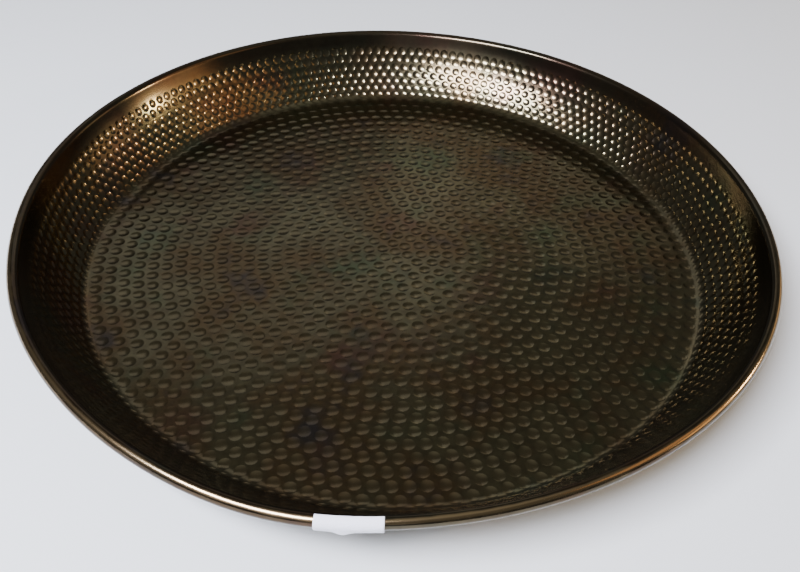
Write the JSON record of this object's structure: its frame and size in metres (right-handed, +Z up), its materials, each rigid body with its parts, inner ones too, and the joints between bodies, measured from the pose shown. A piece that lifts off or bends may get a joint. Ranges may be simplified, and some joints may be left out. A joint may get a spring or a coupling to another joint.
{
  "type": "hammered brass tray",
  "caption": "Round, shallow tray raised from one hammered brass sheet, with a leaning wall, a rolled wired edge and a blank paper stock label.",
  "frame": {"origin": "centre of the tray's underside, on the surface it rests on", "axes": "+Z up, out of the open side of the tray, on its round axis; -Y towards the side with the paper label; +X to the right seen from there"},
  "size_m": [0.6, 0.6006, 0.0607],
  "materials": {
    "antique_brass": "hammered, darkened to an olive-brown antique patina and waxed",
    "steel_wire": "drawn",
    "label_paper": "matte"
  },
  "bodies": {
    "root": {"tray_pan": "antique_brass", "edge_wire": "steel_wire", "paper_label": "label_paper"}
  },
  "joints": []
}
